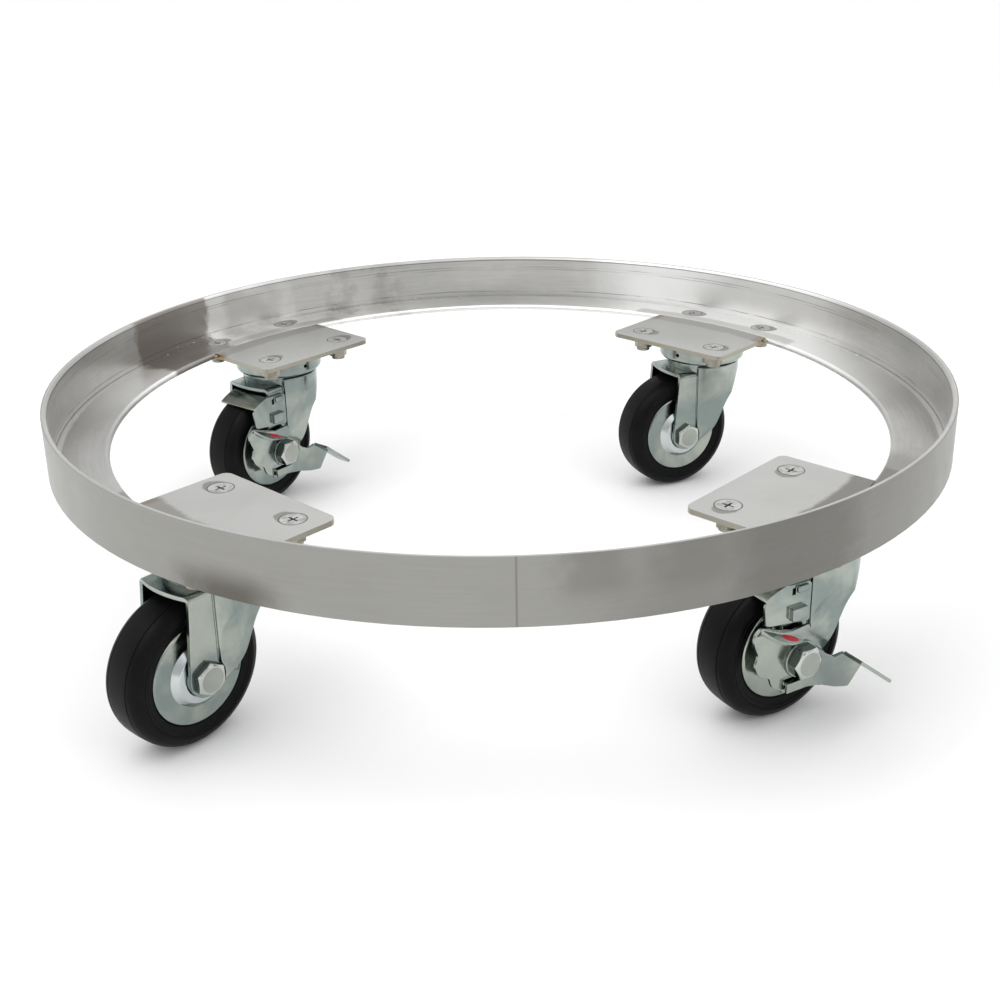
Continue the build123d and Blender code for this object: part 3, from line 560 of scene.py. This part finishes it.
def revolved(profile, count):
    """Closed ring mesh round Z from (radius, height) points in millimetres."""
    maker = bmesh.new()
    rows = []
    for i in range(count):
        turn = 2 * math.pi * i / count
        rows.append([maker.verts.new((r * MM * math.cos(turn), r * MM * math.sin(turn), h * MM))
                     for r, h in profile])
    for i in range(count):
        here, there = rows[i], rows[(i + 1) % count]
        for j in range(len(profile)):
            k = (j + 1) % len(profile)
            maker.faces.new((here[j], there[j], there[k], here[k]))
    bmesh.ops.recalc_face_normals(maker, faces=maker.faces)
    return maker


def caster_matrix(corner):
    """Caster frame: origin on the floor under the swivel axis, bolt head on the -Y side."""
    pivot = joints[f"swivel_turn_{corner}"]["pos_m"]
    side = Vector(joints[f"wheel_spin_{corner}"]["axis"])
    along = side.cross(Vector((0, 0, 1)))
    axes = Matrix((along, side, (0, 0, 1))).transposed().to_4x4()
    return Matrix.Translation((pivot[0], pivot[1], 0)) @ axes


def wheel_matrix(corner):
    """Wheel frame: origin at the middle of the wheel, Z along the axle to the bolt head."""
    centre = Vector(joints[f"wheel_spin_{corner}"]["pos_m"])
    turn = caster_matrix(corner).to_3x3() @ Matrix.Rotation(math.radians(90), 3, "X")
    return Matrix.Translation(centre) @ turn.to_4x4()


def rounded(points, radius, steps=4):
    """Polyline in millimetres with each corner rounded; points may carry their own radius."""
    out = []
    count = len(points)
    for i, point in enumerate(points):
        here = Vector(point[:2])
        size = point[2] if len(point) > 2 else radius
        before = Vector(points[i - 1][:2]) - here
        after = Vector(points[(i + 1) % count][:2]) - here
        cut = min(size, before.length * 0.45, after.length * 0.45)
        start, end = here + before.normalized() * cut, here + after.normalized() * cut
        for k in range(steps + 1):
            t = k / steps
            out.append(tuple((1 - t) ** 2 * start + 2 * t * (1 - t) * here + t * t * end))
    return out


def tyre_profile():
    """Section of the tyre: tread with a parting groove, shoulder, raised sidewall ring."""
    half = [
        (48.5, 0.0, 1.5), (48.38, 5.0, 1.5), (48.15, 8.1, 0.15), (47.6, 8.25, 0.15),
        (47.6, 8.65, 0.15), (48.02, 8.85, 0.25), (47.3, 11.3, 2.5), (44.9, 14.3, 2.5),
        (41.3, 15.95, 1.6), (40.2, 15.98, 0.5), (39.7, 15.4, 0.3), (39.1, 15.98, 0.3),
        (38.4, 15.8, 0.4), (37.9, 15.0, 0.4), (36.4, 15.0, 0.4), (35.0, 14.5, 0.4),
        (33.65, 14.4, 0.3), (33.25, 13.6, 0.2),
    ]
    loop = half + [(33.25, -13.6, 0.2)] + [(r, -h, c) for r, h, c in reversed(half[1:-1])]
    return rounded(loop, 0.4)


def make_tyres():
    for corner in CORNERS:
        maker = revolved(tyre_profile(), 240)
        mark_sharp(maker, 50)
        tyre = add_object(f"tyre_{corner}_rubber", maker, MATERIALS["rubber_tyre"],
                          f"wheel_{corner}", wheel_matrix(corner))
        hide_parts(f"tyre_{corner}")


def blob(maker, centre, size, flat, rng):
    """Small uneven dome of metal or paint, set flat on the surface below it."""
    start = len(maker.verts)
    bmesh.ops.create_icosphere(maker, subdivisions=2, radius=1.0)
    maker.verts.ensure_lookup_table()
    for vert in maker.verts[start:]:
        rough = 1 + rng.uniform(-0.10, 0.10)
        co = vert.co * size * rough
        co.z = max(co.z, -0.2 * size) * flat
        vert.co = centre + co


# first and last bearing round the ring in degrees, and number of beads
SPATTER_ARCS = ((76, 122, 46), (52, 62, 8), (136, 152, 16), (18, 24, 5), (196, 202, 4))


def make_spatter():
    """Weld spatter along the inner corner of the ring, mostly at the back."""
    rng = random.Random(7)
    maker = bmesh.new()
    for first, last, count in SPATTER_ARCS:
        for _ in range(count):
            turn = math.radians(rng.uniform(first, last))
            lift = rng.uniform(0.2, 1.0)
            radius = (307.6 + 2.9 * lift) * MM
            height = FLANGE_TOP + 3.0 * lift * lift * MM
            centre = Vector((radius * math.cos(turn), radius * math.sin(turn), height))
            blob(maker, centre, rng.uniform(0.25, 0.6) * MM, 0.8, rng)
    mark_sharp(maker, 60)
    add_object("spatter_dots", maker, SPATTER, "dolly_frame")


def make_corner_welds():
    """Tacks where the sides of each pad meet the ring's inner edge."""
    rng = random.Random(11)
    for corner, place in PAD_PLACES.items():
        out = Vector((math.cos(math.radians(place)), math.sin(math.radians(place)), 0))
        along = Vector((-out.y, out.x, 0))
        maker = bmesh.new()
        for side in (-1, 1):
            for step in range(5):
                centre = out * (0.2678 + 0.0006 * step) + along * side * (0.0556 + 0.0004 * step)
                centre.z = FLANGE_TOP - 0.0022
                blob(maker, centre, (2.0 - 0.12 * step) * MM, 0.8, rng)
        mark_sharp(maker, 60)
        add_object(f"corner_welds_{corner}", maker, WELD, "dolly_frame")


def make_red_marks():
    """Oval of paint on the sloping ledge of each brake lever, in caster millimetres."""
    middle_along, middle_out = 24.0, 2.8
    half_length, half_width = 7.6, 2.3
    levels = ((1.0, 0.03), (0.93, 0.16), (0.75, 0.26), (0.4, 0.32))
    along = Vector((34.0, 0, -16.0)).normalized()
    slope = math.radians(32.0)
    face = Vector((-along.z, 0, along.x))
    upward = math.cos(slope) * face - math.sin(slope) * Vector((0, 1, 0))
    outward = along.cross(upward)
    origin = Vector((-59.0, -27.27, 77.5))
    count = 40
    for corner in BRAKED:
        maker = bmesh.new()
        rings = []
        for level, lift in levels:
            row = []
            for i in range(count):
                turn = 2 * math.pi * i / count
                a = middle_along + half_length * level * math.cos(turn)
                b = middle_out + half_width * level * math.sin(turn)
                row.append(maker.verts.new(origin + along * a + outward * b + upward * lift))
            rings.append(row)
        for low, high in zip(rings, rings[1:]):
            for i in range(count):
                j = (i + 1) % count
                maker.faces.new((low[i], low[j], high[j], high[i]))
        maker.faces.new(rings[-1])
        maker.faces.new(list(reversed(rings[0])))
        bmesh.ops.recalc_face_normals(maker, faces=maker.faces)
        mark_sharp(maker, 50)
        place = caster_matrix(corner) @ Matrix.Scale(MM, 4)
        add_object(f"red_mark_{corner}", maker, PAINT, f"lever_{corner}", place)


# ---- assemble --------------------------------------------------------------------------
EDGE_WIDTHS = {
    "pad_plate": 0.3, "top_plate": 0.3, "fork": 0.4, "axle_bolt": 0.25, "axle_nut": 0.35,
    "outer_disc": 0.25, "inner_disc": 0.25, "brake_shoe": 0.35, "brake_lever": 0.35,
}


def finish_nodes():
    """Every CAD node gets its slot's material; hard-edged pressings get rounded edges."""
    for node, piece in frame["nodes"].items():
        piece.data.materials.clear()
        piece.data.materials.append(MATERIALS[slots[node]])
    for corner in CORNERS:
        for kind, width in EDGE_WIDTHS.items():
            node = f"{kind}_{corner}"
            if node in frame["nodes"]:
                plating = BOLT_ZINC if kind == "axle_bolt" else None
                piece = softened(node, width * MM, material=plating)
                if kind.endswith("disc"):
                    brighten_dome(piece, corner)
                if kind == "axle_bolt":
                    shade_bolt(piece, corner)
    softened("plate_screws", 0.12 * MM, rounds=2)
    softened("lock_nuts", 0.5 * MM, material=NUT_METAL)


def shade_bolt(bolt, corner):
    """Painted highlight on the bevel and painted shade on the flats of a bolt head, so that its hexagon reads."""
    side_limit, bevel_limit = 0.25, 0.97
    axle = Vector(joints[f"wheel_spin_{corner}"]["axis"]).normalized()
    bolt.data.materials.append(BOLT_BEVEL_HIGHLIGHT)
    bolt.data.materials.append(BOLT_SIDE_SHADE)
    for face in bolt.data.polygons:
        square = abs(face.normal.dot(axle))
        if square < side_limit:
            face.material_index = 2
        elif square < bevel_limit:
            face.material_index = 1


def brighten_dome(disc, corner):
    """Paler colour on the raised centre of a wheel disc."""
    dome_radius = 21.2 * MM
    disc.data.materials.append(DOME_ZINC)
    centre = Vector(joints[f"wheel_spin_{corner}"]["pos_m"])
    axle = Vector(joints[f"wheel_spin_{corner}"]["axis"]).normalized()
    for face in disc.data.polygons:
        reach = 0.0
        for index in face.vertices:
            out = disc.data.vertices[index].co - centre
            reach = max(reach, (out - axle * out.dot(axle)).length)
        if reach < dome_radius:
            face.material_index = 1


def make_floor():
    """Plain pale floor."""
    maker = bmesh.new()
    bmesh.ops.create_grid(maker, x_segments=8, y_segments=8, size=60)
    mesh = bpy.data.meshes.new("floor")
    maker.to_mesh(mesh)
    maker.free()
    floor = bpy.data.objects.new("floor", mesh)
    bpy.context.scene.collection.objects.link(floor)
    s = Shader("floor")
    tone = s.noise(s.place, 3.0, 2.0)
    colour = s.mix(tone, (0.90, 0.90, 0.895), (0.92, 0.92, 0.915))
    mesh.materials.append(s.finish(Base_Color=colour, Roughness=0.8, Specular_IOR_Level=0.2))


def make_surround():
    """Soft pale surround, a little darker low down in front of the ring."""
    world = bpy.data.worlds.new("studio")
    bpy.context.scene.world = world
    sky = Shader("studio", world)
    direction = sky.add("ShaderNodeTexCoord").outputs["Generated"]
    north, up = sky.split(direction)[1:3]
    ramp = sky.add("ShaderNodeValToRGB", {0: up})
    ramp.color_ramp.interpolation = "EASE"
    stops = ((0.0, (1.0, 1.0, 1.0)), (0.22, (0.88, 0.88, 0.88)), (0.5, (0.62, 0.63, 0.64)),
             (0.8, (0.98, 0.98, 0.98)), (1.0, (1.0, 1.0, 1.0)))
    elements = ramp.color_ramp.elements
    while len(elements) < len(stops):
        elements.new(0.5)
    for element, (position, tone) in zip(elements, stops):
        element.position = position
        element.color = (*tone, 1)
    low = sky.rest_of(sky.smooth(up, 0.25, 0.60))
    front = sky.smooth(sky.times(north, -1.0), 0.10, 0.55)
    colour = sky.mix(sky.product(low, front, 0.50), ramp.outputs[0], (0.10, 0.11, 0.12))
    background = sky.add("ShaderNodeBackground", {"Color": colour, "Strength": 1.30})
    output = sky.add("ShaderNodeOutputWorld")
    sky.links.new(background.outputs[0], output.inputs[0])


# name, place, size in metres and power in watts of each soft light
LAMPS = (
    ("key", (-0.9, -0.7, 2.1), 1.6, 12.0),
    ("fill", (1.3, -1.1, 1.5), 1.4, 5.0),
    ("rear", (0.3, 1.6, 1.7), 1.8, 2.0),
)


def make_lights():
    """Broad soft lights, all aimed at the middle of the dolly."""
    target = Vector((0, 0, 0.1))
    for name, spot, size, power in LAMPS:
        light = bpy.data.lights.new(name, "AREA")
        light.size = size
        light.energy = power
        lamp = bpy.data.objects.new(name, light)
        bpy.context.scene.collection.objects.link(lamp)
        lamp.location = spot
        lamp.rotation_euler = (target - Vector(spot)).to_track_quat("-Z", "Y").to_euler()
    bpy.context.scene.view_settings.view_transform = "Standard"


make_camera()
finish_nodes()
make_tyres()
make_spatter()
make_corner_welds()
make_red_marks()
make_floor()
make_surround()
make_lights()
